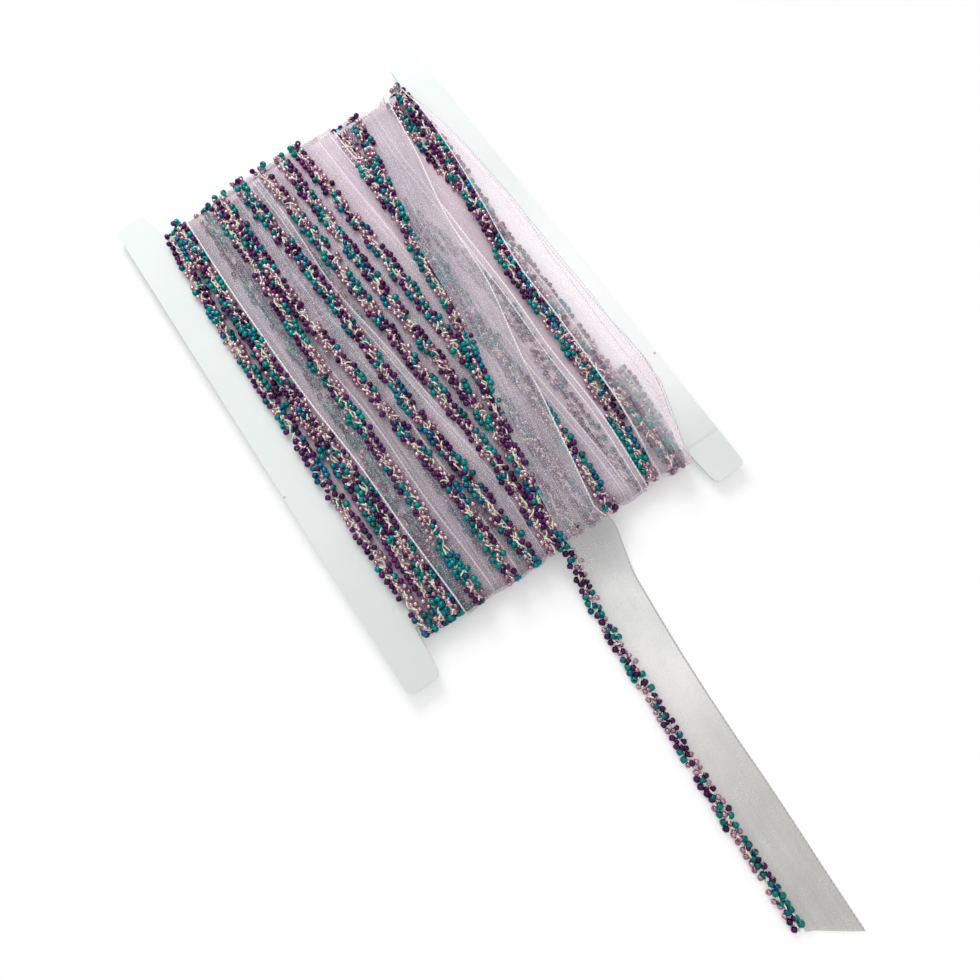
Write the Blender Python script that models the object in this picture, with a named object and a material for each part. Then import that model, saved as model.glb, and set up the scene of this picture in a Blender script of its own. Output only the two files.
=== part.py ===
"""Beaded ribbon trim wound on an H-shaped card, with a loose end. Metres, +Z up."""

import math
import random

import bmesh
import bpy
from mathutils import Matrix, Vector

MM = 0.001

# The card lies flat, its length along Y. Its size follows from seed beads of 2 mm.
CARD_LENGTH = 180 * MM
CARD_WIDTH = 118 * MM
CARD_THICK = 1.3 * MM
TIP_WIDTH = 10.5 * MM
NOTCH_ROOT_HALF = 47.2 * MM
WAIST_HALF = 74.9 * MM
CORNER_RADIUS = 2.2 * MM
CORNER_STEPS = 4

# The winding: a floor of plain layers, and a ridge for each row of beading.
GAP = 0.4 * MM
LAYER_THICK = 0.9 * MM
RIBBON_THICK = 0.15 * MM
RIDGE_HALF = 2.3 * MM
RIDGE_HEIGHT = 1.9 * MM
RIBBON_WIDTH = 13 * MM
RIBBON_START = 1.5 * MM
BACK_FLAT = 2.15 * MM
FACE_STATIONS = 24
BEND_STATIONS = 5

# The turns are pulled tight over the card's upper waist edge and hang a little slack over the lower one.
UPPER_BEND = WAIST_HALF - 0.3 * MM
LOWER_BEND = -WAIST_HALF - 0.8 * MM
BEND_RADIUS = CARD_THICK / 2 + GAP

# The back of the winding rests on z = 0.
CARD_MID_Z = BACK_FLAT + LAYER_THICK + BEND_RADIUS

# Where the winding's two side edges lie on the front, from its top to its bottom, in mm.
LEFT_EDGE = (-46.8, -48.3, -48.6, -48.0, -46.8)
RIGHT_EDGE = (46.8, 52.0, 52.8, 51.0, 46.8)

# Each turn in winding order: the x of its beading in mm at seven even places down the front.
# The first pass goes from right to left, the second one lies on it and ends at the middle.
TURNS = (
    # name, top, four places between, middle in the centre, bottom
    ("far_right", (44.2, 45.6, 43.4, 42.8, 42.2, 42.8, 43.8)),
    ("double", (41.1, 41.1, 41.2, 40.2, 40.0, 40.4, 40.6)),
    ("right", (44.2, 43.9, 41.0, 37.6, 37.6, 36.0, 33.3)),
    ("under_right", (33.0, 32.4, 32.0, 31.1, 28.8, 27.8, 27.1)),
    ("under_middle", (-12.6, -11.8, -11.2, -11.0, -10.8, -10.7, -10.7)),
    ("under_left", (-20.5, -19.0, -18.0, -17.8, -17.8, -17.8, -17.8)),
    ("veiled_left", (-32.3, -31.9, -31.6, -31.2, -31.3, -31.4, -31.5)),
    ("left_edge", (-44.2, -45.9, -46.2, -45.6, -45.5, -45.0, -44.2)),
    ("second", (-40.4, -40.9, -40.9, -40.9, -39.9, -39.6, -39.2)),
    ("second_fork", (-40.2, -40.5, -40.1, -39.2, -37.4, -36.7, -35.5)),
    ("fourth", (-27.2, -27.4, -28.2, -28.0, -27.8, -27.5, -27.4)),
    ("fifth", (-24.4, -24.0, -23.4, -20.9, -18.4, -16.2, -16.6)),
    ("sixth", (-16.6, -15.1, -13.3, -13.0, -12.3, -10.6, -9.2)),
    ("seventh", (-8.6, -6.6, -5.7, -4.4, -2.7, -1.5, -2.2)),
    ("eighth", (-1.0, -0.1, 0.8, 1.9, 3.1, 4.4, 5.6)),
    ("ninth", (5.0, 6.6, 7.9, 8.8, 10.0, 11.2, 11.9)),
    ("eleventh", (20.3, 19.0, 19.9, 19.6, 19.3, 20.2, 18.3)),
    ("last", (26.4, 22.3, 17.7, 15.1, 9.9, 4.7, 0.7)),
)

# Rows that don't cross on the front. The columns of the winding's mesh follow them.
GUIDES = ("left_edge", "second", "fourth", "fifth", "sixth", "seventh", "eighth", "ninth", "eleventh", "double")
COLUMN_STEPS = (-2.3, -1.2, 0.0, 1.2, 2.3)
COLUMN_GAP = 1.35
INNER_STEP = 12

# The loose end: x of its beading and of its free selvedge at each distance y, in mm.
TAIL_TABLE = (
    # y, beading_x, selvedge_x
    (-78.6, 1.1, 16.9),
    (-83.0, 1.4, 16.8),
    (-88.8, 0.5, 15.5),
    (-94.7, -1.1, 14.0),
    (-106.6, -2.5, 12.6),
    (-118.4, -3.3, 11.4),
    (-130.2, -4.0, 10.5),
    (-142.0, -4.8, 9.9),
    (-154.0, -5.7, 9.5),
    (-166.0, -6.4, 8.9),
    (-178.0, -6.9, 8.1),
    (-200.0, -7.9, 7.0),
)
TAIL_THICK = 1.0 * MM
TAIL_STEPS = 40
TAIL_END_LEFT = (-9.4, -194.6)
TAIL_END_RIGHT = (6.9, -204.8)
TAIL_BEADING_HALF = 2.1 * MM
TAIL_BEADING_HEIGHT = 2.2 * MM
TAIL_SEAM_GAP = 0.2 * MM
TAIL_DROP_START = 8.15 * MM
TAIL_DROP_LENGTH = 20 * MM
TAIL_DROP_POWER = 1.8

RANDOM_SEED = 5


def clear_scene():
    for obj in list(bpy.data.objects):
        bpy.data.objects.remove(obj, do_unlink=True)
    for group in list(bpy.data.collections):
        bpy.data.collections.remove(group)


def collection(name):
    group = bpy.data.collections.new(name)
    bpy.context.scene.collection.children.link(group)
    return group


def material(name, color, roughness):
    mat = bpy.data.materials.new(name)
    mat.use_nodes = True
    shader = mat.node_tree.nodes["Principled BSDF"]
    shader.inputs["Base Color"].default_value = (*color, 1)
    shader.inputs["Roughness"].default_value = roughness
    return mat


def object_from(bm, name, mat, group):
    bmesh.ops.recalc_face_normals(bm, faces=bm.faces)
    mesh = bpy.data.meshes.new(name)
    bm.to_mesh(mesh)
    bm.free()
    mesh.materials.append(mat)
    obj = bpy.data.objects.new(name, mesh)
    group.objects.link(obj)
    return obj


def spline(values, t):
    """The value at t, from 0 at the first to 1 at the last, on a smooth curve through the values."""
    last = len(values) - 1
    place = min(max(t, 0), 1) * last
    i = min(int(place), last - 1)
    u = place - i
    b, c = values[i], values[i + 1]
    a = values[i - 1] if i else 2 * b - c
    d = values[i + 2] if i + 2 <= last else 2 * c - b
    return b + 0.5 * u * (c - a + u * (2 * a - 5 * b + 4 * c - d + u * (3 * (b - c) + d - a)))


def ease(t):
    return t * t * (3 - 2 * t)


def loft(bm, sections, closed=False):
    """Joins a row of rings with the same count of points, and caps its ends unless it is closed."""
    rings = [[bm.verts.new(point) for point in section] for section in sections]
    pairs = list(zip(rings, rings[1:]))
    if closed:
        pairs.append((rings[-1], rings[0]))
    for first, second in pairs:
        for i in range(len(first)):
            j = (i + 1) % len(first)
            bm.faces.new((first[i], first[j], second[j], second[i]))
    if not closed:
        bm.faces.new(rings[0])
        bm.faces.new(reversed(rings[-1]))


def rounded(corners, radii):
    """The outline through the corners, with each one rounded to its radius."""
    outline = []
    count = len(corners)
    for i, corner in enumerate(corners):
        here = Vector(corner)
        if not radii[i]:
            outline.append(here)
            continue
        before = (Vector(corners[i - 1]) - here).normalized()
        after = (Vector(corners[(i + 1) % count]) - here).normalized()
        start = here + before * radii[i]
        end = here + after * radii[i]
        for step in range(CORNER_STEPS + 1):
            t = step / CORNER_STEPS
            outline.append(start.lerp(here, t).lerp(here.lerp(end, t), t))
    return outline


def make_card(mat, group):
    half_width = CARD_WIDTH / 2
    half_length = CARD_LENGTH / 2
    tip_inner = half_width - TIP_WIDTH
    quarter = [
        ((half_width, half_length), CORNER_RADIUS),
        ((tip_inner, half_length), CORNER_RADIUS),
        ((NOTCH_ROOT_HALF, WAIST_HALF), 0),
    ]
    corners, radii = [], []
    for sx, sy in ((1, 1), (-1, 1), (-1, -1), (1, -1)):
        part = quarter if sx * sy > 0 else list(reversed(quarter))
        corners += [(sx * x, sy * y) for (x, y), radius in part]
        radii += [radius for place, radius in part]
    bm = bmesh.new()
    low = CARD_MID_Z - CARD_THICK / 2
    face = bm.faces.new([bm.verts.new((p.x, p.y, low)) for p in rounded(corners, radii)])
    raised = bmesh.ops.extrude_face_region(bm, geom=[face])
    top = [item for item in raised["geom"] if isinstance(item, bmesh.types.BMVert)]
    bmesh.ops.translate(bm, verts=top, vec=(0, 0, CARD_THICK))
    bmesh.ops.triangulate(bm, faces=[f for f in bm.faces if len(f.verts) > 4])
    return object_from(bm, "card", mat, group)


def front_x(name, t):
    row = next(turn for turn in TURNS if turn[0] == name)
    return spline(row[1], t) * MM


def turn_x(index, face, t):
    """The x of a turn's beading: on the front, or on the back on its way to the next turn's top."""
    here = TURNS[index][1]
    if face == "front":
        return spline(here, t) * MM
    if index + 1 == len(TURNS):
        return None
    after = TURNS[index + 1][1]
    return (here[-1] + (after[0] - here[-1]) * ease(t)) * MM


def stations():
    """Places round the card: the face, how far along it, and the angle round the bend."""
    places = [("front", i / FACE_STATIONS, 0) for i in range(FACE_STATIONS + 1)]
    places += [("low_bend", 1, i / (BEND_STATIONS + 1)) for i in range(1, BEND_STATIONS + 1)]
    places += [("back", i / FACE_STATIONS, 0) for i in range(FACE_STATIONS + 1)]
    places += [("high_bend", 1, i / (BEND_STATIONS + 1)) for i in range(1, BEND_STATIONS + 1)]
    return places


def frame_at(place):
    """The point on the inner surface of the winding in Y and Z, and its outward direction."""
    face, t, bend = place
    if face == "front":
        return UPPER_BEND + (LOWER_BEND - UPPER_BEND) * t, BEND_RADIUS, 0, 1
    if face == "back":
        return LOWER_BEND + (UPPER_BEND - LOWER_BEND) * t, -BEND_RADIUS, 0, -1
    low = face == "low_bend"
    angle = math.pi * (bend if low else 1 - bend)
    out_y, out_z = math.sin(angle) * (-1 if low else 1), math.cos(angle)
    centre = LOWER_BEND if low else UPPER_BEND
    return centre + BEND_RADIUS * out_y, BEND_RADIUS * out_z, out_y, out_z


def row_at(index, place):
    face, t, bend = place
    if face in ("front", "back"):
        return turn_x(index, face, t)
    if face == "low_bend":
        return TURNS[index][1][-1] * MM
    return turn_x(index + 1, "front", 0) if index + 1 < len(TURNS) else None


def columns():
    """The column places across the winding where the guides stand on the middle of the front."""
    left, right = LEFT_EDGE[2], RIGHT_EDGE[2]
    wanted = [front_x(name, 0.5) / MM + step for name in GUIDES for step in COLUMN_STEPS]
    kept = [left]
    for x in sorted(wanted):
        while x - kept[-1] > 1.6 * COLUMN_GAP:
            kept.append(kept[-1] + COLUMN_GAP)
        if 0.6 < x - kept[-1] and x < right - 0.6:
            kept.append(x)
    while right - kept[-1] > 1.6 * COLUMN_GAP:
        kept.append(kept[-1] + COLUMN_GAP)
    return [x * MM for x in kept] + [right * MM]


def warp(x, t):
    """Moves a column with the guide rows on each side of it, at t down the front."""
    table = [(LEFT_EDGE[2] * MM, spline(LEFT_EDGE, t) * MM)]
    table += [(front_x(name, 0.5), front_x(name, t)) for name in GUIDES]
    table.append((RIGHT_EDGE[2] * MM, spline(RIGHT_EDGE, t) * MM))
    for (a, a_now), (b, b_now) in zip(table, table[1:]):
        if x <= b + 1e-9:
            return a_now + (b_now - a_now) * (x - a) / (b - a)
    return table[-1][1]


def column_x(x, place):
    face, t, bend = place
    if face == "front":
        return warp(x, t)
    if face == "low_bend":
        return warp(x, 1)
    if face == "high_bend":
        return warp(x, 0)
    return warp(x, 1) + (warp(x, 0) - warp(x, 1)) * ease(t)


def smooth(values, reach):
    result = []
    for i in range(len(values)):
        near = values[max(0, i - reach):i + reach + 1]
        result.append(sum(near) / len(near))
    return result


def winding_heights(places, grid):
    """The height of the winding over its floor at each station and column, turn on turn."""
    heights = [[0.0] * len(xs) for xs in grid]
    for index in range(len(TURNS)):
        run = [(k, row_at(index, place)) for k, place in enumerate(places)]
        run = [(k, x) for k, x in run if x is not None]
        seats = []
        for k, x in run:
            under = [h for h, at in zip(heights[k], grid[k]) if abs(at - x) < 0.7 * RIDGE_HALF]
            seats.append(sum(under) / len(under))
        for (k, x), seat in zip(run, smooth(seats, 2)):
            for j, at in enumerate(grid[k]):
                away = (at - x) / RIDGE_HALF
                if abs(away) < 1:
                    ridge = seat + RIDGE_HEIGHT * (1 - away * away) ** 0.6
                    heights[k][j] = max(heights[k][j], ridge)
                elif RIBBON_START < at - x < RIBBON_START + RIBBON_WIDTH:
                    heights[k][j] += RIBBON_THICK
    return heights


def make_winding(mat, group):
    places = stations()
    base = columns()
    grid = [[column_x(x, place) for x in base] for place in places]
    heights = winding_heights(places, grid)
    sections = []
    for place, xs, row in zip(places, grid, heights):
        y, z, out_y, out_z = frame_at(place)
        limit = BACK_FLAT if out_z < 0 else 1
        section = []
        for j, x in enumerate(xs):
            lift = LAYER_THICK + (0 if j in (0, len(xs) - 1) else min(row[j], limit))
            section.append((x, y + out_y * lift, CARD_MID_Z + z + out_z * lift))
        section += [(x, y, CARD_MID_Z + z) for x in reversed(xs[::INNER_STEP] + xs[-1:])]
        sections.append(section)
    bm = bmesh.new()
    loft(bm, sections, closed=True)
    bmesh.ops.triangulate(bm, faces=bm.faces)
    return object_from(bm, "wound_trim", mat, group)


def tail_row(y):
    """The x of the beading and of the free selvedge at a place along the loose end."""
    y = y / MM
    for (y0, a0, b0), (y1, a1, b1) in zip(TAIL_TABLE, TAIL_TABLE[1:]):
        if y >= y1:
            u = (y - y0) / (y1 - y0)
            return (a0 + (a1 - a0) * u) * MM, (b0 + (b1 - b0) * u) * MM
    return TAIL_TABLE[-1][1] * MM, TAIL_TABLE[-1][2] * MM


def tail_drop(y):
    """The height of the loose end's underside, which falls from the winding to the surface."""
    t = (TAIL_TABLE[0][0] * MM - y) / TAIL_DROP_LENGTH
    return TAIL_DROP_START * (1 - min(max(t, 0), 1)) ** TAIL_DROP_POWER


def tail_end(x):
    (x0, y0), (x1, y1) = TAIL_END_LEFT, TAIL_END_RIGHT
    return (y0 + (y1 - y0) * (x / MM - x0) / (x1 - x0)) * MM


def tail_places():
    start = TAIL_TABLE[0][0] * MM
    length = start - TAIL_END_LEFT[1] * MM
    return [start - length * i / TAIL_STEPS for i in range(TAIL_STEPS + 1)]


def make_loose_end(mat, group):
    sections = []
    start = TAIL_TABLE[0][0] * MM
    for y in tail_places():
        beading, selvedge = tail_row(y)
        left = beading + TAIL_BEADING_HALF + TAIL_SEAM_GAP
        share = (start - y) / (start - TAIL_END_LEFT[1] * MM)
        top, bottom = [], []
        for i in range(5):
            x = left + (selvedge - left) * i / 4
            stretch = (start - tail_end(x)) / (start - TAIL_END_LEFT[1] * MM)
            at = start - share * stretch * (start - TAIL_END_LEFT[1] * MM)
            low = tail_drop(y)
            top.append((x, at, low + TAIL_THICK))
            bottom.append((x, at, low))
        sections.append(bottom + top[::-1])
    bm = bmesh.new()
    loft(bm, sections)
    bmesh.ops.triangulate(bm, faces=bm.faces)
    return object_from(bm, "loose_end", mat, group)


def make_loose_beading(mat, group):
    chance = random.Random(RANDOM_SEED)
    sections = []
    sides = 10
    for y in tail_places():
        beading, selvedge = tail_row(y)
        low = tail_drop(y)
        swell = 1 - 0.12 * chance.random()
        ring = []
        for i in range(sides):
            angle = 2 * math.pi * (i + 0.5) / sides
            x = TAIL_BEADING_HALF * swell * math.cos(angle)
            z = TAIL_BEADING_HEIGHT / 2 * math.sin(angle)
            squashed = max(z, -0.4 * TAIL_BEADING_HEIGHT) + 0.4 * TAIL_BEADING_HEIGHT
            ring.append((beading + x, y, low + squashed))
        sections.append(ring)
    bm = bmesh.new()
    loft(bm, sections)
    bmesh.ops.triangulate(bm, faces=bm.faces)
    return object_from(bm, "loose_end_beading", mat, group)


def stand_on_origin(objects):
    """Moves the meshes so that the bottom centre of their common box is the origin."""
    points = [v.co for obj in objects for v in obj.data.vertices]
    low = [min(p[axis] for p in points) for axis in range(3)]
    high = [max(p[axis] for p in points) for axis in range(3)]
    move = Vector((-(low[0] + high[0]) / 2, -(low[1] + high[1]) / 2, -low[2]))
    for obj in objects:
        obj.data.transform(Matrix.Translation(move))


clear_scene()
parts = collection("parts")
card_paper = material("card_white", (0.86, 0.89, 0.88), 0.6)
trim_cloth = material("trim_mauve", (0.46, 0.36, 0.43), 0.6)
sheer_cloth = material("ribbon_sheer", (0.78, 0.76, 0.78), 0.5)
beading_mix = material("beading_teal_plum", (0.10, 0.25, 0.30), 0.3)
pieces = [
    make_card(card_paper, parts),
    make_winding(trim_cloth, parts),
    make_loose_end(sheer_cloth, parts),
    make_loose_beading(beading_mix, parts),
]
stand_on_origin(pieces)
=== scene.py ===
# %% [markdown]
# # A beaded ribbon trim, wound on a card
#
# The real thing is sheer organza ribbon, half an inch wide, with an edging of seed beads crocheted on along its
# left edge. It is wound round a white H-shaped card, and its loose end runs off over the lower edge.
# The solids of the CAD model give the card and the outer form of the winding. This script adds the looks: each
# turn of ribbon as a thin sheet, each bead and each thread, and the finish of every surface.
# Sizes are in millimetres, and MM turns them into Blender's metres.

import bmesh
import bpy
import numpy as np
from mathutils import Matrix, Vector


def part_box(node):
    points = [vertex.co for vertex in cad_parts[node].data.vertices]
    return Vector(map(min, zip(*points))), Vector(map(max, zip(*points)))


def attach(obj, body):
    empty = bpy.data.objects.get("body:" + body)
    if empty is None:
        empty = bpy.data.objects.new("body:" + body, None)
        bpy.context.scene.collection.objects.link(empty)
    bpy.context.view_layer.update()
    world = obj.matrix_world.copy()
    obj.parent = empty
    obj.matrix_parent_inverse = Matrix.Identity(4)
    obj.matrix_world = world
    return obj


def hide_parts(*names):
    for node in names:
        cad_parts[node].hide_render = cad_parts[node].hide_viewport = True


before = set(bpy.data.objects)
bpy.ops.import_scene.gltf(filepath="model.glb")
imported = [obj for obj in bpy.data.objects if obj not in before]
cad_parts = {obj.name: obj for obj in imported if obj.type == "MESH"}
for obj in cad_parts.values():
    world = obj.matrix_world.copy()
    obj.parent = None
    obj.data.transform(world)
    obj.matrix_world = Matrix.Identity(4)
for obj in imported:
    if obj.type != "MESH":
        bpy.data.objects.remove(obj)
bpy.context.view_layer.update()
MM = 0.001
card_low, card_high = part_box("card")
CARD_Y = (card_low[1] + card_high[1]) / 2 / MM
CARD_FRONT = card_high[2] / MM
CARD_MIDDLE = (card_low[2] + card_high[2]) / 2 / MM
print("card from", card_low, "to", card_high)

# %% [markdown]
# ## The camera
#
# The photograph looks down on the card, turned about forty degrees, from some 25 cm away. The four corners of the
# card, whose proportions are known, give the place and the lens. The picture's middle falls on the card's face a
# little below the winding's centre.

# %% Camera
CAMERA_FROM_CARD = Vector((-27.7, -107.2, 229.6))
AIM_ON_CARD = Vector((-6.9, -53.6, 0.0))
PICTURE_UP = Vector((0.558, 0.796, 0.236))
LENS = 29.39


def on_card(point):
    """A point given from the centre of the card's front face, as a place in the scene."""
    return Vector((point[0], point[1] + CARD_Y, point[2] + CARD_FRONT)) * MM


camera = bpy.data.objects.new("camera", bpy.data.cameras.new("camera"))
camera.data.lens = LENS
camera.data.clip_start = 0.01
ahead = (on_card(AIM_ON_CARD) - on_card(CAMERA_FROM_CARD)).normalized()
right = ahead.cross(PICTURE_UP).normalized()
turned = Matrix((right, right.cross(ahead), -ahead)).transposed().to_4x4()
camera.matrix_world = Matrix.Translation(on_card(CAMERA_FROM_CARD)) @ turned
bpy.context.scene.collection.objects.link(camera)
bpy.context.scene.camera = camera
print("camera at", camera.location)

# %% [markdown]
# ## Helpers for nodes
#
# A material is a tree of nodes, and so is the sky. In the editor the nodes are added and joined by hand. Here each
# helper adds one kind of node, sets its values and joins its inputs, so that a finish reads as a list of steps.

# %% Helpers for nodes


def plain_material(name, color, roughness, **values):
    """A material of one colour, and its shader. More of the shader's values are given by their labels."""
    material = bpy.data.materials.new(name)
    material.use_nodes = True
    shader = material.node_tree.nodes["Principled BSDF"]
    for label, value in {"Base_Color": (*color, 1), "Roughness": roughness, **values}.items():
        shader.inputs[label.replace("_", " ")].default_value = value
    return material, shader


def add_node(tree, kind, settings=None, **links):
    """Adds a node, sets its plain properties, and feeds its inputs from sockets or values. An input goes by its
    label, or by n and its number where labels repeat."""
    node = tree.nodes.new(kind)
    for key, value in (settings or {}).items():
        setattr(node, key, value)
    for key, value in links.items():
        numbered = key[0] == "n" and key[1:].isdigit()
        socket = node.inputs[int(key[1:]) if numbered else key.replace("_", " ")]
        if isinstance(value, bpy.types.NodeSocket):
            tree.links.new(value, socket)
        else:
            socket.default_value = value
    return node


def math_node(tree, operation, first, second=0.5, third=0.5):
    return add_node(tree, "ShaderNodeMath", {"operation": operation}, n0=first, n1=second, n2=third).outputs[0]


def noise(tree, vector, scale, detail, roughness=0.5, dimensions="3D"):
    """A cloudy value from 0 to 1."""
    return add_node(tree, "ShaderNodeTexNoise", {"noise_dimensions": dimensions}, Vector=vector, Scale=scale,
                    Detail=detail, Roughness=roughness).outputs[0]


def ranged(tree, value, low, high, to_low=0.0, to_high=1.0, smooth=False):
    """A value between low and high, turned into one between to_low and to_high."""
    settings = {"interpolation_type": "SMOOTHSTEP"} if smooth else None
    return add_node(tree, "ShaderNodeMapRange", settings, n0=value, n1=low, n2=high, n3=to_low, n4=to_high).outputs[0]


def mixed(tree, factor, first, second, blend_type="MIX"):
    """The mix of two colours, each a socket or a red, green and blue."""
    first, second = ((*color, 1) if isinstance(color, tuple) else color for color in (first, second))
    return add_node(tree, "ShaderNodeMix", {"data_type": "RGBA", "blend_type": blend_type}, Factor=factor,
                    n6=first, n7=second).outputs[2]


def ramp(tree, share, stops):
    """A colour ramp, from a place and a tone for each stop."""
    node = add_node(tree, "ShaderNodeValToRGB", n0=share)
    elements = node.color_ramp.elements
    for number, (place, tone) in enumerate(stops):
        stop = elements[number] if number < 2 else elements.new(place)
        stop.position, stop.color = place, tone
    return node


def bump_into(shader, tree, height, strength, distance):
    """Turns a height into small slopes of the shader's surface."""
    bump = add_node(tree, "ShaderNodeBump", Height=height, Strength=strength, Distance=distance)
    tree.links.new(bump.outputs[0], shader.inputs["Normal"])


# %% [markdown]
# ## Floor and light
#
# A white sweep under a soft sky that is brightest overhead, with one lamp over the far side of the card, near
# enough for the light to fall off towards the loose end. The Standard view keeps white white. The floor glows a
# little of its own, more the further it is from the lamp, so that it is evenly white and only just burnt out, and
# the soft shadow close to the object shows.

# %% The floor
FLOOR_SIZE = 6.0
FLOOR_GLOW = (0.03, 0.03, 0.035, 0.075, 0.131, 0.19, 0.231, 0.261, 0.288, 0.31)
GLOW_STEP = 0.05
LAMP_FROM_CARD = Vector((24.0, 195.0, 240.0))

floor_mesh = bpy.data.meshes.new("floor")
bm = bmesh.new()
bmesh.ops.create_grid(bm, x_segments=1, y_segments=1, size=FLOOR_SIZE / 2)
bm.to_mesh(floor_mesh)
bm.free()
floor = bpy.data.objects.new("floor", floor_mesh)
floor_white, floor_shader = plain_material("floor_white", (0.85, 0.85, 0.85), 0.9, Specular_IOR_Level=0.0,
                                           Emission_Strength=1.0)
tree = floor_white.node_tree
lamp_foot = (on_card(LAMP_FROM_CARD).x, on_card(LAMP_FROM_CARD).y, 0.0)
from_lamp = add_node(tree, "ShaderNodeVectorMath", {"operation": "DISTANCE"},
                     n0=add_node(tree, "ShaderNodeTexCoord").outputs["Object"], n1=lamp_foot).outputs["Value"]
glow_stops = [((place + 0.5) / len(FLOOR_GLOW), (glow, glow, glow, 1)) for place, glow in enumerate(FLOOR_GLOW)]
floor_ramp = ramp(tree, math_node(tree, "DIVIDE", from_lamp, GLOW_STEP * len(FLOOR_GLOW)), glow_stops)
tree.links.new(floor_ramp.outputs["Color"], floor_shader.inputs["Emission Color"])
floor_mesh.materials.append(floor_white)
bpy.context.scene.collection.objects.link(floor)

# %% The sky
SKY_OVERHEAD = 1.06
SKY_HORIZON = 0.16
BACKDROP = 0.88
world = bpy.data.worlds.new("sky")
world.use_nodes = True
tree = world.node_tree
sky_way = add_node(tree, "ShaderNodeSeparateXYZ", n0=add_node(tree, "ShaderNodeTexCoord").outputs["Generated"])
sky_light = ranged(tree, sky_way.outputs["Z"], 0.0, 1.0, SKY_HORIZON, SKY_OVERHEAD)
sky_seen = add_node(tree, "ShaderNodeLightPath").outputs["Is Camera Ray"]
sky_mix = add_node(tree, "ShaderNodeMix", Factor=sky_seen, A=sky_light, B=BACKDROP)
background = tree.nodes["Background"]
background.inputs["Color"].default_value = (1, 1, 1, 1)
tree.links.new(sky_mix.outputs["Result"], background.inputs["Strength"])
bpy.context.scene.world = world

# %% The lamp
LAMP_POWER = 0.46
LAMP_SIZE = 0.16
lamp = bpy.data.objects.new("lamp", bpy.data.lights.new("lamp", "AREA"))
lamp.data.energy = LAMP_POWER
lamp.data.size = LAMP_SIZE
lamp_way = on_card((0, 0, 0)) - on_card(LAMP_FROM_CARD)
lamp.matrix_world = Matrix.Translation(on_card(LAMP_FROM_CARD)) @ lamp_way.to_track_quat("-Z", "Y").to_matrix().to_4x4()
bpy.context.scene.collection.objects.link(lamp)
bpy.context.scene.view_settings.view_transform = "Standard"
print("lamp at", lamp.location)

# %% [markdown]
# ## Node groups
#
# Three effects are used by more than one finish. `Woven` gives the fine crosswise ribs, the lengthwise pulls and
# the glints of organza, from the UV map that runs along the ribbon. `Mottle` is a slow change of tone. `Twist` is
# the spiral of a spun thread, or of the cord that edges the ribbon.

# %% Helpers for groups


def new_group(name, inputs, outputs):
    group = bpy.data.node_groups.new(name, "ShaderNodeTree")
    for label, kind, value in inputs:
        socket = group.interface.new_socket(label, in_out="INPUT", socket_type=kind)
        socket.default_value = value
    for label, kind in outputs:
        group.interface.new_socket(label, in_out="OUTPUT", socket_type=kind)
    return group, group.nodes.new("NodeGroupInput").outputs, group.nodes.new("NodeGroupOutput").inputs


def use_group(tree, group, **links):
    return add_node(tree, "ShaderNodeGroup", {"node_tree": group}, **links)


# %% The woven group
RIB_WANDER = 0.0016
PULL_LENGTHS = 42.0
woven, given, wanted = new_group(
    "Woven",
    [("Vector", "NodeSocketVector", (0, 0, 0)), ("Ribs", "NodeSocketFloat", 9000.0),
     ("Pulls", "NodeSocketFloat", 1900.0), ("Glint", "NodeSocketFloat", 0.5)],
    [("Height", "NodeSocketFloat"), ("Density", "NodeSocketFloat"), ("Glints", "NodeSocketFloat")])
split = add_node(woven, "ShaderNodeSeparateXYZ", Vector=given["Vector"]).outputs
shifted = math_node(woven, "MULTIPLY_ADD", noise(woven, given["Vector"], 160.0, 2.0), RIB_WANDER, split["Y"])
rib_wave = math_node(woven, "SINE", math_node(woven, "MULTIPLY", shifted, given["Ribs"]))
pull_place = add_node(woven, "ShaderNodeCombineXYZ", X=math_node(woven, "MULTIPLY", split["X"], given["Pulls"]),
                      Y=math_node(woven, "MULTIPLY", split["Y"], PULL_LENGTHS)).outputs[0]
pulls = noise(woven, pull_place, 1.0, 3.0, roughness=0.6, dimensions="2D")
grain = noise(woven, given["Vector"], 3000.0, 1.0)
ribs_and_pulls = math_node(woven, "MULTIPLY_ADD", pulls, 2.1, math_node(woven, "MULTIPLY", rib_wave, 0.1))
density = math_node(woven, "ADD", grain, ribs_and_pulls)
woven.links.new(density, wanted["Height"])
woven.links.new(math_node(woven, "SUBTRACT", density, 1.55), wanted["Density"])
woven.links.new(math_node(woven, "MULTIPLY", ranged(woven, grain, 0.60, 0.68), given["Glint"]), wanted["Glints"])

# %% The mottle and twist groups
mottle, given, wanted = new_group(
    "Mottle",
    [("Vector", "NodeSocketVector", (0, 0, 0)), ("Scale", "NodeSocketFloat", 60.0),
     ("Light", "NodeSocketColor", (1, 1, 1, 1)), ("Dark", "NodeSocketColor", (0.8, 0.8, 0.8, 1))],
    [("Color", "NodeSocketColor")])
cloud = ranged(mottle, noise(mottle, given["Vector"], given["Scale"], 4.0, roughness=0.6), 0.35, 0.65)
mottle.links.new(mixed(mottle, cloud, given["Dark"], given["Light"]), wanted["Color"])

twist, given, wanted = new_group(
    "Twist",
    [("Vector", "NodeSocketVector", (0, 0, 0)), ("Turns", "NodeSocketFloat", 2600.0)],
    [("Height", "NodeSocketFloat")])
split = add_node(twist, "ShaderNodeSeparateXYZ", Vector=given["Vector"]).outputs
slant = math_node(twist, "MULTIPLY", math_node(twist, "ADD", split["X"], split["Y"]), given["Turns"])
twist.links.new(math_node(twist, "MULTIPLY_ADD", math_node(twist, "SINE", slant), 0.5, 0.5), wanted["Height"])
print("node groups:", [group.name for group in bpy.data.node_groups])

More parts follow.
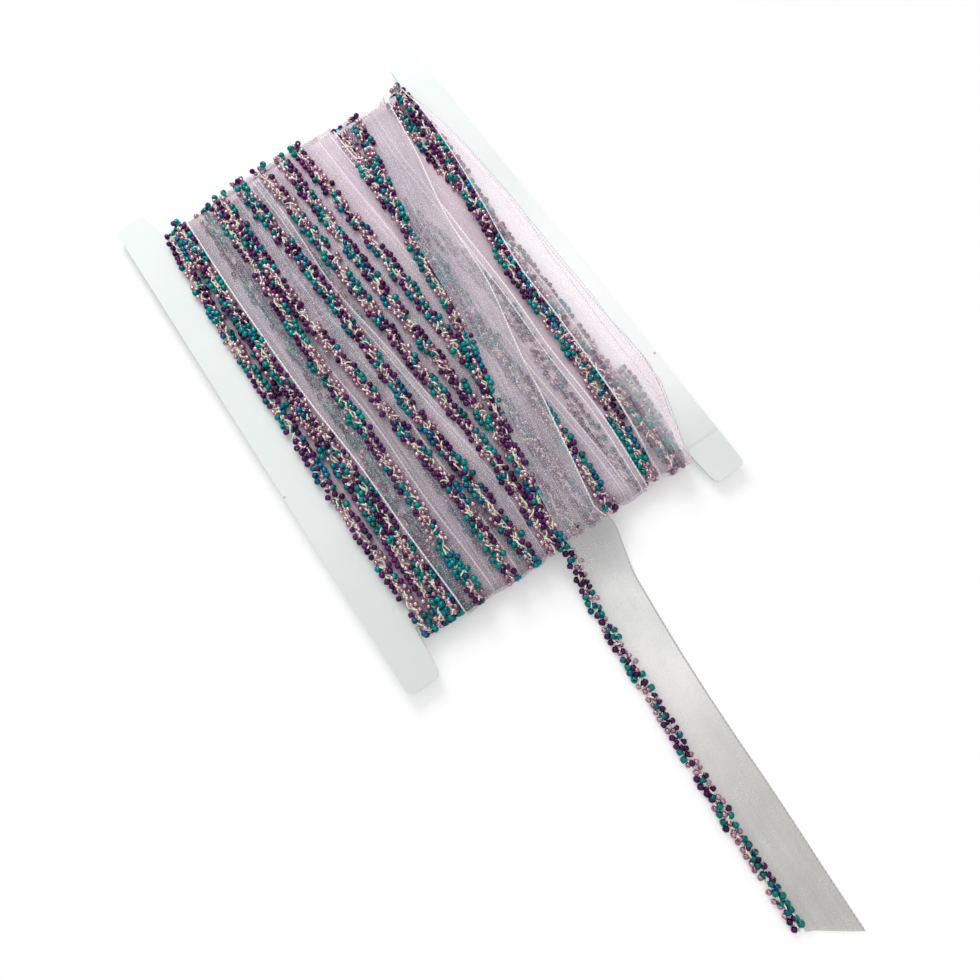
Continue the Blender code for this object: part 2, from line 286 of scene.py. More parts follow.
# %% [markdown]
# ## Finishes
#
# Organza is thin threads with air between them, so most of it is see-through. A low alpha that follows the weave
# does that without refraction, and keeps the layers quick to render. The seed beads are glass: opaque teal, a few
# more blue, dark plum, and smaller pink ones with a metal lining. A `tone` value on each bead makes no two alike.

# %% Helpers for the finishes


def along_uv(tree):
    return add_node(tree, "ShaderNodeUVMap", {"uv_map": "along"}).outputs[0]


def object_place(tree):
    return add_node(tree, "ShaderNodeTexCoord").outputs["Object"]


def mottled(tree, place, scale, light, dark):
    """A slow change between two colours."""
    return use_group(tree, mottle, Vector=place, Scale=scale, Light=(*light, 1), Dark=(*dark, 1)).outputs["Color"]


# %% Organza
SHADED_TO = 0.0055
STREAK, SHADE, GLINT = (0.90, 0.84, 0.90), (0.20, 0.15, 0.19), (1.0, 0.97, 1.0)


def tone_ramp(tree, place, tones):
    """A colour and a cover that change along Object Y, from a table of y, red, green, blue and cover."""
    y = add_node(tree, "ShaderNodeSeparateXYZ", Vector=place).outputs["Y"]
    top, span = tones[0][0], tones[0][0] - tones[-1][0]
    share = math_node(tree, "DIVIDE", math_node(tree, "SUBTRACT", top, y), span)
    node = ramp(tree, share, [((top - y) / span, tone) for y, *tone in tones])
    node.color_ramp.interpolation = "B_SPLINE"
    return node.outputs["Color"], node.outputs["Alpha"]


def organza(name, thin, thick, cover, glint, contrast, tones=None, shaded=0.0):
    """Sheer cloth: the colour of its thin and thick places, and how much of what is behind it it hides. A shaded one
    has painted shade beside its beading. One with tones has its colours multiplied by them, painted light and shade
    along it, and its glints in patches."""
    material, shader = plain_material(name, thin, 0.5, Specular_IOR_Level=0.35, Sheen_Weight=0.25)
    tree = material.node_tree
    uv, place = along_uv(tree), object_place(tree)
    weave = use_group(tree, woven, Vector=uv, Glint=glint).outputs
    color, glints = mottled(tree, place, 55.0, thin, thick), weave["Glints"]
    # The tones paint light and shade along the cloth, and change its cover.
    if tones:
        tone, cover = tone_ramp(tree, place, tones)
        color = mixed(tree, 1.0, tone, color, "MULTIPLY")
        patches = ranged(tree, noise(tree, place, 130.0, 1.0), 0.52, 0.62, 0.1, 1.0)
        glints = math_node(tree, "MULTIPLY", glints, patches)
    else:
        color = mixed(tree, ranged(tree, weave["Height"], 1.35, 1.95, 0.0, 0.4), color, STREAK)
    # Painted shade: the cloth is darkened towards SHADE beside its beading.
    if shaded:
        across = add_node(tree, "ShaderNodeSeparateXYZ", Vector=uv).outputs["X"]
        color = mixed(tree, ranged(tree, across, SHADED_TO, 0.0, 0.0, shaded, smooth=True), color, SHADE)
    tree.links.new(mixed(tree, glints, color, GLINT), shader.inputs["Base Color"])
    hidden = math_node(tree, "MULTIPLY_ADD", weave["Density"], contrast, cover)
    hidden = math_node(tree, "ADD", hidden, math_node(tree, "MULTIPLY", glints, 0.4))
    hidden = add_node(tree, "ShaderNodeClamp", Value=hidden, Min=0.05, Max=0.98)
    tree.links.new(hidden.outputs[0], shader.inputs["Alpha"])
    bump_into(shader, tree, weave["Height"], 0.35, 0.00015)
    return material


# The loose end's colour is painted greyest where it leaves the winding and towards its cut end, and bright where it
# arches between: painted light and shade along its length.
LOOSE_PAINTED_LIGHT_AND_COVER = (
    # y, red, green, blue, cover
    (-0.0215, 0.50, 0.44, 0.47, 0.62),
    (-0.0265, 0.41, 0.425, 0.415, 0.66),
    (-0.0385, 0.65, 0.665, 0.65, 0.50),
    (-0.0675, 0.78, 0.765, 0.745, 0.43),
    (-0.0855, 0.61, 0.59, 0.565, 0.52),
    (-0.1075, 0.465, 0.445, 0.41, 0.58),
    (-0.1425, 0.41, 0.39, 0.355, 0.60),
)
organza_wound = organza("organza_wound", (0.68, 0.57, 0.65), (0.44, 0.37, 0.44), 0.30, 0.8, contrast=0.3, shaded=0.8)
organza_top = organza("organza_top", (0.63, 0.55, 0.62), (0.39, 0.35, 0.42), 0.36, 0.8, contrast=0.2)
organza_pale = organza("organza_pale", (0.98, 0.84, 0.90), (0.95, 0.78, 0.85), 0.15, 0.3, contrast=0.2)
organza_grey = organza("organza_grey", (0.49, 0.47, 0.50), (0.32, 0.31, 0.34), 0.28, 0.8, contrast=0.2, shaded=0.5)
organza_blush = organza("organza_blush", (0.96, 0.79, 0.86), (0.90, 0.71, 0.79), 0.29, 0.3, contrast=0.2)
organza_loose = organza("organza_loose", (1.09, 1.06, 1.07), (0.87, 0.89, 0.88), 0.65, 0.7, contrast=0.1,
                        tones=LOOSE_PAINTED_LIGHT_AND_COVER)

# %% The selvedges


def selvedge_cord(name, color, alpha):
    material, shader = plain_material(name, color, 0.4)
    tree = material.node_tree
    spiral = use_group(tree, twist, Vector=along_uv(tree), Turns=5200.0).outputs[0]
    tree.links.new(math_node(tree, "MULTIPLY_ADD", spiral, 0.3, alpha), shader.inputs["Alpha"])
    bump_into(shader, tree, spiral, 0.6, 0.0002)
    return material


selvedge_bright = selvedge_cord("selvedge_bright", (0.93, 0.88, 0.91), 0.6)
selvedge_loose = selvedge_cord("selvedge_loose", (0.36, 0.35, 0.35), 0.5)

# %% The core's finish
# The many layers under the top turns are one opaque surface, mauve-grey, and paler towards the right-hand edge
# and the upper edge, where the layers run out. All places are in millimetres from the card's middle.
CORE_LEFT, CORE_RIGHT = -3.0, 30.0
CORE_LEAN = 0.2
LEANS_FROM = 10
CORE_TOP_FROM, CORE_TOP_TO = 68, 77
core_mauve, core_shader = plain_material("core_mauve", (0.2, 0.15, 0.18), 0.7)
tree = core_mauve.node_tree
place = object_place(tree)
core_height = use_group(tree, woven, Vector=along_uv(tree), Glint=0.3).outputs["Height"]
core_color = mottled(tree, place, 70.0, (0.36, 0.30, 0.345), (0.225, 0.185, 0.215))
core_color = mixed(tree, ranged(tree, core_height, 1.25, 2.0, 0.0, 0.75), core_color, (0.52, 0.42, 0.48))
spot = add_node(tree, "ShaderNodeSeparateXYZ", Vector=place).outputs
lean = math_node(tree, "MULTIPLY_ADD", spot["Y"], CORE_LEAN, spot["X"])
lean = math_node(tree, "SUBTRACT", lean, CORE_LEAN * (CARD_Y + LEANS_FROM) * MM)
near_right = ranged(tree, lean, CORE_LEFT * MM, CORE_RIGHT * MM, smooth=True)
near_top = ranged(tree, spot["Y"], (CARD_Y + CORE_TOP_FROM) * MM, (CARD_Y + CORE_TOP_TO) * MM, 0.0, 0.8, smooth=True)
core_color = mixed(tree, math_node(tree, "MAXIMUM", near_right, near_top), core_color, (0.62, 0.51, 0.57))
tree.links.new(core_color, core_shader.inputs["Base Color"])
bump_into(core_shader, tree, core_height, 0.5, 0.0003)

# %% Bead and thread finishes


def bead_glass(name, light, dark, roughness, metallic, coat):
    material, shader = plain_material(name, light, roughness, Metallic=metallic, Specular_IOR_Level=0.15,
                                      Coat_Weight=coat, Coat_Roughness=0.06)
    tree = material.node_tree
    tone = add_node(tree, "ShaderNodeAttribute", {"attribute_name": "tone"}).outputs["Fac"]
    tree.links.new(mixed(tree, tone, dark, light), shader.inputs["Base Color"])
    return material


bead_finishes = {
    "teal": bead_glass("bead_teal", (0.001, 0.30, 0.30), (0.0, 0.12, 0.14), 0.2, metallic=0.5, coat=0.22),
    "blue": bead_glass("bead_blue", (0.001, 0.20, 0.34), (0.0, 0.075, 0.155), 0.2, metallic=0.5, coat=0.22),
    "plum": bead_glass("bead_plum", (0.125, 0.016, 0.145), (0.036, 0.003, 0.048), 0.2, metallic=0.5, coat=0.2),
    "pink": bead_glass("bead_pink", (0.76, 0.47, 0.57), (0.34, 0.15, 0.24), 0.14, metallic=0.85, coat=0.7),
}
thread_cream, thread_shader = plain_material("thread_cream", (0.85, 0.76, 0.50), 0.75, Sheen_Weight=0.3)
tree = thread_cream.node_tree
place = object_place(tree)
tree.links.new(mottled(tree, place, 700.0, (1.0, 0.97, 0.82), (0.78, 0.73, 0.57)), thread_shader.inputs["Base Color"])
bump_into(thread_shader, tree, use_group(tree, twist, Vector=place, Turns=9000.0).outputs[0], 0.5, 0.0002)

# %% [markdown]
# ## Where each turn lies
#
# A turn starts at the card's upper edge, runs down the front, bends round the lower edge and climbs the back to
# the next turn's start. The table gives the way of its beading down the front, left or right of the card's middle,
# as the photograph shows it on a plane a few millimetres over the card. A turn that lies higher than that plane
# looks shifted, and is moved back by as much. The second pass lies on the first and ends as the loose end.

# %% The turns
TOP_TO_BOTTOM = 7
TURNS = (
    # name, x of the beading at seven even places from the upper to the lower edge
    ("start", (50.0, 50.0, 49.0, 48.0, 47.6, 45.6, 43.0)),
    ("far_right", (44.4, 45.4, 43.4, 42.8, 42.6, 42.4, 42.2)),
    ("under_right", (23.0, 22.0, 25.5, 29.5, 28.8, 27.8, 27.1)),
    ("double", (40.7, 40.5, 41.2, 40.4, 40.0, 40.6, 41.0)),
    ("right", (45.0, 44.1, 41.5, 38.1, 37.6, 36.2, 33.3)),
    ("under_middle", (-12.6, -11.8, -11.2, -11.0, -10.8, -10.7, -10.7)),
    ("under_left", (-20.5, -19.0, -18.0, -17.8, -17.8, -17.8, -17.8)),
    ("left_edge", (-44.4, -46.1, -46.4, -45.8, -45.7, -45.1, -44.3)),
    ("second", (-40.5, -41.0, -41.0, -41.0, -39.9, -39.7, -39.2)),
    ("veiled_left", (-32.0, -31.6, -31.3, -31.3, -31.4, -31.5, -31.5)),
    ("second_fork", (-40.3, -40.6, -40.2, -39.3, -37.4, -36.7, -35.5)),
    ("fourth", (-27.2, -27.4, -28.2, -28.0, -27.7, -27.4, -27.4)),
    ("fifth", (-24.4, -23.9, -23.3, -20.7, -18.2, -16.0, -16.5)),
    ("sixth", (-16.5, -14.9, -13.1, -12.8, -12.0, -10.3, -9.0)),
    ("seventh", (-8.4, -6.3, -5.4, -4.1, -2.4, -1.2, -2.0)),
    ("eighth", (-0.7, 0.2, 1.1, 2.2, 3.4, 4.7, 6.0)),
    ("ninth", (5.4, 7.0, 8.3, 9.2, 10.4, 11.6, 12.3)),
    ("eleventh", (20.8, 19.5, 20.2, 19.6, 19.2, 19.7, 18.4)),
    ("last", (27.1, 22.9, 18.2, 15.6, 10.3, 5.0, 0.9)),
)
# Turns whose ribbon comes up beside or over the right-hand beads of its own edging, so that its selvedge shows:
# where it starts, right of the beading's middle, and how high.
SHOWN_SELVEDGE = {"second_fork": (2.5, 1.7), "right": (2.2, 2.0)}
SEEN_PLANE = 3.5
# How much further right than its width the top ribbon's selvedge is drawn, at the same seven places.
DRAWN_OUT = {"last": (0.0, 0.0, 0.0, 0.3, 1.3, 1.4, 0.4)}
# Turns that no eye reaches but through the ribbons on them: their ribbons are left to the core.
BURIED = ("under_middle", "under_left", "veiled_left")
START_FROM = 0.79

UPPER_BEND = 75.2
LOWER_BEND = -75.7
BEND_RADIUS = 1.05
FACE_STEPS = 78
BEND_STEPS = 6
STEP_ALONG = 1.93
FLOOR = 0.55


def along_curve(values, t):
    """A smooth curve through evenly spaced values, read at t from 0 to 1."""
    values = np.asarray(values, float)
    padded = np.concatenate([[2 * values[0] - values[1]], values, [2 * values[-1] - values[-2]]])
    place = np.clip(t, 0, 1) * (len(values) - 1)
    i = np.minimum(place.astype(int), len(values) - 2)
    u = place - i
    a, b, c, d = padded[i], padded[i + 1], padded[i + 2], padded[i + 3]
    return b + 0.5 * u * (c - a + u * (2 * a - 5 * b + 4 * c - d + u * (3 * (b - c) + d - a)))


def ease(t):
    t = np.clip(t, 0, 1)
    return t * t * (3 - 2 * t)


# %% The way round the card
down = np.linspace(0, 1, FACE_STEPS + 1)
bend = np.linspace(0, np.pi, BEND_STEPS + 2)[1:-1]
face_y = UPPER_BEND + (LOWER_BEND - UPPER_BEND) * down
flat = np.ones_like(down)
way_y = np.concatenate([face_y, LOWER_BEND - BEND_RADIUS * np.sin(bend), face_y[::-1],
                        UPPER_BEND + BEND_RADIUS * np.sin(bend)])
way_z = BEND_RADIUS * np.concatenate([flat, np.cos(bend), -flat, -np.cos(bend)])
out_y = np.concatenate([0 * flat, -np.sin(bend), 0 * flat, np.sin(bend)])
out_z = np.concatenate([flat, np.cos(bend), -flat, -np.cos(bend)])
STATIONS = len(way_y)
FRONT = slice(0, FACE_STEPS + 1)
BACK_START = FACE_STEPS + 1 + BEND_STEPS
FRONT_END = FACE_STEPS + BEND_STEPS // 2


def turn_way(index):
    """The x of a turn's beading at each station, not a number where the turn isn't there."""
    values = TURNS[index][1]
    after = TURNS[index + 1][1][0] if index + 1 < len(TURNS) else np.nan
    front = along_curve(values, down)
    if index == 0:
        front[down < START_FROM] = np.nan
    back = values[-1] + (after - values[-1]) * ease(down)
    low_edge = np.full(BEND_STEPS, values[-1] if index + 1 < len(TURNS) else np.nan)
    return np.concatenate([front, low_edge, back, np.full(BEND_STEPS, after)])


ways = [turn_way(index) for index in range(len(TURNS))]
print("stations round the card:", STATIONS, "turns:", len(TURNS))

# %% [markdown]
# ## How high each turn lies
#
# The turns lie on one another, so a map of heights is kept over the whole way round: one row for each station, one
# column for each place across. Each new turn is laid on the map as it stands, its beading on what is under it and
# its ribbon stretched over the beads beside it like a film, and is then added to the map.

# %% The map of heights
ACROSS = np.arange(-54.0, 60.0, 0.75)
BEAD = 2.0
BEADING_HALF = 2.4
BEADING_HEIGHT = 2.35
SEAT_REACH = 1.6
RIBBON_LEFT, SELVEDGE_LIFT = 0.9, 0.35
RIBBON_RIGHT = 13.6
RIBBON_COLUMNS = 13
# The back starts where the way round faces up by less than this.
BEHIND = 0.3
# The most that a seat, a bead's lift and a ribbon may rise on the back, where there is little room, and a ribbon on
# the front.
BACK_SEAT, BACK_LIFT, BACK_FILM = 0.3, 1.0, 2.1
FRONT_FILM = 9.0
TUCKED = 2.0
NOTCH_LEFT, NOTCH_RIGHT = -46.6, 46.6
BACK_BULGE = 3.4
# How far right the ribbons reach at seven places down the front, held in by the card's notches.
REACH = (47.4, 51.5, 52.8, 53.2, 53.8, 54.4, 46.6)


def shift(values, step, axis):
    moved = np.roll(values, step, axis)
    if axis == 1 and step > 0:
        moved[:, :step] = values[:, :1]
    elif axis == 1:
        moved[:, step:] = values[:, -1:]
    return moved


def widen(values, reach):
    for _ in range(reach):
        values = np.maximum(values, np.maximum(shift(values, 1, 1), shift(values, -1, 1)))
    return values


def soften(values, times, axis):
    for _ in range(times):
        values = 0.5 * values + 0.25 * (shift(values, 1, axis) + shift(values, -1, axis))
    return values


def film_over(heights):
    """A ribbon's surface, stretched over the heights."""
    bridged = -widen(-widen(heights, 4), 4)
    return np.maximum(soften(soften(bridged, 3, 1), 4, 0), soften(widen(heights, 2), 1, 1)) + 0.3


def smooth_run(values):
    """Evens out the stretch of values that are numbers, and leaves its ends and the rest."""
    known = ~np.isnan(values)
    run = values[known]
    for _ in range(6):
        run = np.concatenate([[run[0]], 0.5 * run[1:-1] + 0.25 * (run[:-2] + run[2:]), [run[-1]]])
    result = values.copy()
    result[known] = run
    return result


def seat_of(way, here, heights):
    """How high a beading on this way sits: the mean height of what is under it."""
    seat = np.full(STATIONS, np.nan)
    for k in np.flatnonzero(here):
        seat[k] = heights[k, np.abs(ACROSS - way[k]) < SEAT_REACH].mean()
    return smooth_run(seat)


def ribbon_edges(index, way):
    """The ribbon's left and right edge at each station, and how much of it is folded under at its right."""
    name, rows = TURNS[index][0], np.arange(STATIONS)
    wobble = 0.5 * np.sin(rows * 0.09 + index * 1.7) + 0.25 * np.sin(rows * 0.23 + index)
    right = way + RIBBON_RIGHT + wobble
    right[FRONT] += along_curve(DRAWN_OUT.get(name, (0,) * TOP_TO_BOTTOM), down)
    in_notch = np.full(BEND_STEPS, NOTCH_RIGHT)
    over_back = NOTCH_RIGHT + BACK_BULGE * (1 - np.abs(2 * down - 1) ** 6)
    limit = np.concatenate([along_curve(REACH, down), in_notch, over_back, in_notch]) - 0.25 * (index % 3)
    folded = np.clip(right - limit, 0, TUCKED) if np.nanmax(right - limit) > 0.3 else 0 * right
    right = np.minimum(right, limit)
    start = SHOWN_SELVEDGE.get(name, (RIBBON_LEFT, SELVEDGE_LIFT))[0]
    return np.minimum(way + start, right - 2.0), right, folded


def lay_turn(index, heights):
    """Lays one turn on the map, and gives its beading's seat and its ribbon's edges and surface."""
    name, seen = TURNS[index][0], ways[index]
    way, here, on_back = seen, ~np.isnan(seen), out_z < BEHIND
    for _ in range(2):
        seat = seat_of(way, here, heights)
        over_plane = np.where(on_back, 0.0, seat + FLOOR + 1.4 - SEEN_PLANE)
        way = seen - over_plane * (seen - CAMERA_FROM_CARD.x) / CAMERA_FROM_CARD.z
    seat[on_back & here] = np.minimum(seat[on_back & here], BACK_SEAT)
    film = film_over(heights)
    left, right, folded = ribbon_edges(index, way)
    lift = SHOWN_SELVEDGE.get(name, (RIBBON_LEFT, SELVEDGE_LIFT))[1]
    columns = left[:, None] + (right - left)[:, None] * np.linspace(0, 1, RIBBON_COLUMNS)
    surface = np.full(columns.shape, np.nan)
    ceiling = BACK_FILM + 0.015 * index + (FRONT_FILM - BACK_FILM) * ease((out_z + 1) / 2)
    for k in np.flatnonzero(here):
        hug = seat[k] + lift * (1 - ease((columns[k] - left[k]) / 3.0))
        surface[k] = np.minimum(np.maximum(np.interp(columns[k], ACROSS, film[k]), hug), ceiling[k])
        covered = (ACROSS > left[k]) & (ACROSS < right[k])
        heights[k, covered] = np.maximum(heights[k, covered], np.interp(ACROSS[covered], columns[k], surface[k]) + 0.08)
        away = (ACROSS - way[k]) / BEADING_HALF
        mound = seat[k] + BEADING_HEIGHT * np.sqrt(np.clip(1 - away ** 2, 0, 1))
        heights[k] = np.where(np.abs(away) < 1, np.maximum(heights[k], mound), heights[k])
    return {"name": name, "way": way, "seat": seat, "columns": columns, "surface": surface, "here": here,
            "folded": folded}


heights = np.zeros((STATIONS, len(ACROSS)))
turns = [lay_turn(index, heights) for index in range(len(TURNS))]
print("highest place over the core: front %.1f mm, back %.1f mm" % (heights[FRONT].max(), heights[BACK_START:].max()))

# %% [markdown]
# ## The core
#
# The layers that don't show one by one are a closed band round the card, just under the lowest beads. It starts as
# a grid primitive, and each of its points is then moved to its place round the card.

# %% Placing points


def place_on_way(station, x, lift):
    """Places round the card, in metres, from a station that may lie between two, an x and a lift in mm."""
    station = np.mod(station, STATIONS)
    grid = np.arange(STATIONS + 1)
    looped = [np.concatenate([values, values[:1]]) for values in (way_y, way_z, out_y, out_z)]
    y, z, ny, nz = (np.interp(station, grid, values) for values in looped)
    length = np.hypot(ny, nz)
    lift = lift + FLOOR
    return np.stack([x, y + CARD_Y + ny / length * lift, CARD_MIDDLE + z + nz / length * lift], -1) * MM


def new_piece(name, data):
    """An object for a mesh or a curve, which rides on the card's body."""
    piece = bpy.data.objects.new(name, data)
    bpy.context.scene.collection.objects.link(piece)
    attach(piece, "root")
    return piece


def sheet_from(name, points, uvs, materials, edges=(), closed=False):
    """A sheet through a table of points, rows along and columns across, made from a grid primitive."""
    rows, cols = points.shape[:2]
    bm = bmesh.new()
    layer = bm.loops.layers.uv.new("along")
    bmesh.ops.create_grid(bm, x_segments=cols - 1, y_segments=rows - 1, size=1.0)
    bm.verts.ensure_lookup_table()
    flat_points = points.reshape(-1, 3)
    flat_uvs = uvs.reshape(-1, 2)
    for vert, point in zip(bm.verts, flat_points):
        vert.co = point
    for face in bm.faces:
        face.smooth = True
        for loop in face.loops:
            loop[layer].uv = flat_uvs[loop.vert.index]
        face.material_index = 1 if min(vert.index % cols for vert in face.verts) in edges else 0
    if closed:
        bmesh.ops.remove_doubles(bm, verts=bm.verts, dist=1e-6)
    mesh = bpy.data.meshes.new(name)
    bm.to_mesh(mesh)
    bm.free()
    for material in materials:
        mesh.materials.append(material)
    return new_piece(name, mesh)


# %% The core's band
# Round the two bends it fills the room between the rows, up to just under the ribbons.
CORE_COLUMNS = 44
CORE_UNDER = 1.0
CORE_LEFT_EDGE = NOTCH_LEFT + 0.6
core_share = np.linspace(0, 1, CORE_COLUMNS)
core_right = np.full(STATIONS, 45.0)
core_right[FRONT] = along_curve((45.6, 46.5, 45.0, 44.0, 43.5, 43.5, 44.5), down)
core_x = CORE_LEFT_EDGE + (core_right[:, None] - CORE_LEFT_EDGE) * core_share


def read_across(values):
    """The values of a map at the core's columns."""
    return np.stack([np.interp(core_x[k], ACROSS, values[k]) for k in range(STATIONS)])


round_bend = soften(np.abs(out_y)[:, None] * np.ones(3), 3, 0)[:, :1]
core_valley = read_across(soften(-widen(-heights, 3), 2, 1))
core_lift = np.minimum(0.12 * read_across(heights), 0.5) - 0.1 + np.maximum(core_valley - CORE_UNDER, 0) * round_bend
loop_rows = np.arange(STATIONS + 1) % STATIONS
core_x, core_lift = core_x[loop_rows], core_lift[loop_rows]
core_points = place_on_way(loop_rows[:, None] + 0.0 * core_x, core_x, core_lift)
core_uv = np.stack([core_x, np.arange(STATIONS + 1)[:, None] * STEP_ALONG + 0 * core_x], -1) * MM
core = sheet_from("winding_core", core_points, core_uv, [core_mauve], closed=True)
thickness = core.modifiers.new("thickness", "SOLIDIFY")
thickness.thickness = 0.3 * MM
thickness.offset = -1.0
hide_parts("wound_trim")

# %% [markdown]
# ## The ribbons
#
# Each turn of ribbon is one thin sheet on the heights that were worked out for it. Its first and last column are
# the selvedges: narrow, bright and a little raised, as the real edge cord is. The last turn runs on into the loose
# end, which drops to the surface and lies along it, so those two are one sheet.

# %% The loose end's way
LOOSE_TABLE = (
    # y, x of the beading, x of the free selvedge
    (-78.6, 1.1, 16.9),
    (-83.0, 1.4, 16.8),
    (-88.8, 0.5, 15.5),
    (-94.7, -0.9, 14.0),
    (-106.6, -2.0, 12.6),
    (-118.4, -2.5, 11.4),
    (-130.2, -3.2, 10.5),
    (-142.0, -4.0, 9.9),
    (-154.0, -4.8, 9.5),
    (-166.0, -5.5, 8.9),
    (-178.0, -6.0, 8.1),
    (-200.0, -7.0, 7.0),
    (-206.0, -7.2, 6.9),
)
DROP_LENGTH = 24.0
CUT_LEFT = (-9.4, -194.8)
CUT_RIGHT = (7.0, -206.0)
LOOSE_STEPS = 66
REST_LIFT = 0.25
loose_table = np.array(LOOSE_TABLE)[::-1]


def loose_beading_x(y):
    return np.interp(y, loose_table[:, 0], loose_table[:, 1])


def loose_selvedge_x(y):
    return np.interp(y, loose_table[:, 0], loose_table[:, 2])


def cut_y(x):
    """Where the oblique cut ends the loose end at a given x."""
    return CUT_LEFT[1] + (CUT_RIGHT[1] - CUT_LEFT[1]) * (x - CUT_LEFT[0]) / (CUT_RIGHT[0] - CUT_LEFT[0])


def drop_from(height, y):
    """The height over the surface on the way down from the winding's lower edge."""
    t = np.clip((LOWER_BEND - y) / DROP_LENGTH, 0, 1)
    return REST_LIFT + (height - REST_LIFT) * (1 - t) ** 2 * (1 + 0.8 * t)


# %% Build the ribbons
SELVEDGE = 0.45
CORD_LIFT = 0.12
# The second bright line that some ribbons show: how far in from the selvedge, and how wide.
DOUBLE_LINE = (2.0, 0.3)
DOUBLED = ("ninth", "eleventh", "fifth", "seventh", "right")
# Over this length below the bend the loose end turns to its own way. Its left edge is sewn to the beads and stands
# as high as they do, and the winding's finish reaches this far down on it.
SETTLE_LENGTH = 6
BEADED_EDGE_LIFT = 1.5
WOUND_BELOW = 3.5


def ribbon_columns(left, right):
    """The x of each column, with a narrow one for the selvedge on each side."""
    inner = np.linspace(0, 1, RIBBON_COLUMNS - 2)
    middle = (left + SELVEDGE)[:, None] + (right - left - 2 * SELVEDGE)[:, None] * inner
    double = right - DOUBLE_LINE[0] * np.clip((right - left) / RIBBON_RIGHT, 0.3, 1)
    middle[:, -3], middle[:, -2] = double - DOUBLE_LINE[1], double
    return np.concatenate([left[:, None], middle, right[:, None]], 1)


def loose_run(edges, share, top):
    """The loose end's points in mm, from the edges, shares across and heights where the winding lets go of it."""
    y = np.linspace(LOWER_BEND, CUT_LEFT[1], LOOSE_STEPS + 1)[1:]
    settle = ease((LOWER_BEND - y) / SETTLE_LENGTH)
    left, right = (edge + (lies - edge) * settle
                   for edge, lies in zip(edges, (loose_beading_x(y) + RIBBON_LEFT, loose_selvedge_x(y))))
    x = left[:, None] + (right - left)[:, None] * share
    y = LOWER_BEND + (y - LOWER_BEND)[:, None] * (LOWER_BEND - cut_y(x)) / (LOWER_BEND - CUT_LEFT[1])
    crown = (0.35 + 0.25 * np.sin(y * 0.11)) * np.sin(np.pi * share) * ease((LOWER_BEND - y) / 30)
    z = np.maximum(drop_from(top, y) + crown, REST_LIFT)
    z = z + BEADED_EDGE_LIFT * (1 - ease(share / 0.2)) * settle[:, None]
    return np.stack([x, y, z], -1)


def ribbon_piece(turn):
    rows = np.flatnonzero(turn["here"])
    left, right = turn["columns"][rows, 0], turn["columns"][rows, -1]
    x = ribbon_columns(left, right)
    lift = np.stack([np.interp(x[i], turn["columns"][k], turn["surface"][k]) for i, k in enumerate(rows)])
    lift[:, -2] += CORD_LIFT
    across = x - left[:, None]
    folded = turn["folded"][rows]
    if folded.max() > 0:
        hem = np.maximum(folded, 0.3)[:, None] * np.linspace(0, 1, 6)[1:]
        across = np.concatenate([across, across[:, -1:] + hem], 1)
        lift = np.concatenate([lift, lift[:, -1:] - 0.1 - 0.15 * np.minimum(hem, 1)], 1)
        x = np.concatenate([x, x[:, -1:] - hem], 1)
    points = place_on_way(rows[:, None] + 0.0 * x, x, lift)
    along = np.arange(len(rows))[:, None] * STEP_ALONG + 0 * x
    name = turn["name"]
    if name == "last":
        width = right[-1] - left[-1]
        share = (x[-1] - left[-1]) / width
        loose = loose_run((left[-1], right[-1]), share, points[-1, :, 2] / MM)
        points = np.concatenate([points, (loose + [0, CARD_Y, 0]) * MM])
        across = np.concatenate([across, share * width + 0 * loose[..., 0]])
        along = np.concatenate([along, along[-1, 0] + LOWER_BEND - loose[..., 1]])
    finish = organza_pale if name in ("far_right", "double", "right") else organza_wound
    finish = {"last": organza_top, "start": organza_blush, "second_fork": organza_grey}.get(name, finish)
    edges = (0, RIBBON_COLUMNS - 2) if name in SHOWN_SELVEDGE else (RIBBON_COLUMNS - 2,)
    edges += (RIBBON_COLUMNS - 4,) if name in DOUBLED else ()
    uvs = np.stack([across, along], -1) * MM
    piece = sheet_from("ribbon_" + name, points, uvs, [finish, selvedge_bright], edges=edges)
    if name == "last":
        piece.data.materials.append(organza_loose)
        piece.data.materials.append(selvedge_loose)
        limit = (LOWER_BEND - WOUND_BELOW + CARD_Y) * MM
        for polygon in piece.data.polygons:
            if polygon.center.y < limit:
                polygon.material_index += 2
        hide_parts("loose_end")
    span = np.linalg.norm(np.diff(points[:, points.shape[1] // 2], axis=0), axis=1).sum()
    piece.visible_shadow = name == "last"
    return span


ribbon_length = sum(ribbon_piece(turn) for turn in turns if turn["name"] not in BURIED)
print("ribbon modelled: %.2f m" % ribbon_length)

# %% [markdown]
# ## One bead
#
# A seed bead is a short length of glass tube with melted-round edges: a drum with a hole through it. The outline
# of its wall is a ring of a few points, and a full spin round the hole makes the bead. Thousands are needed, so
# the outline has six points where beads show well and five elsewhere.

# %% The bead's two meshes
FINE_WALL = ((0.30, -0.56), (0.72, -0.84), (1.0, -0.36), (1.0, 0.36), (0.72, 0.84), (0.30, 0.56))
COARSE_WALL = ((0.34, -0.6), (0.84, -0.72), (1.0, 0.0), (0.84, 0.72), (0.34, 0.6))


def spun_bead(wall, steps):
    bm = bmesh.new()
    verts = [bm.verts.new((r * BEAD / 2, 0, z * BEAD / 2)) for r, z in wall]
    edges = [bm.edges.new((verts[i], verts[(i + 1) % len(verts)])) for i in range(len(verts))]
    bmesh.ops.spin(bm, geom=verts + edges, cent=(0, 0, 0), axis=(0, 0, 1), angle=2 * np.pi, steps=steps,
                   use_merge=True)
    bmesh.ops.recalc_face_normals(bm, faces=bm.faces)
    bm.verts.index_update()
    points = np.array([vert.co[:] for vert in bm.verts])
    corners = [[vert.index for vert in face.verts] for face in bm.faces]
    bm.free()
    # The merge leaves the faces in an order that changes from run to run, so they are sorted.
    return points, np.array(sorted(np.roll(face, -np.argmin(face)).tolist() for face in corners))


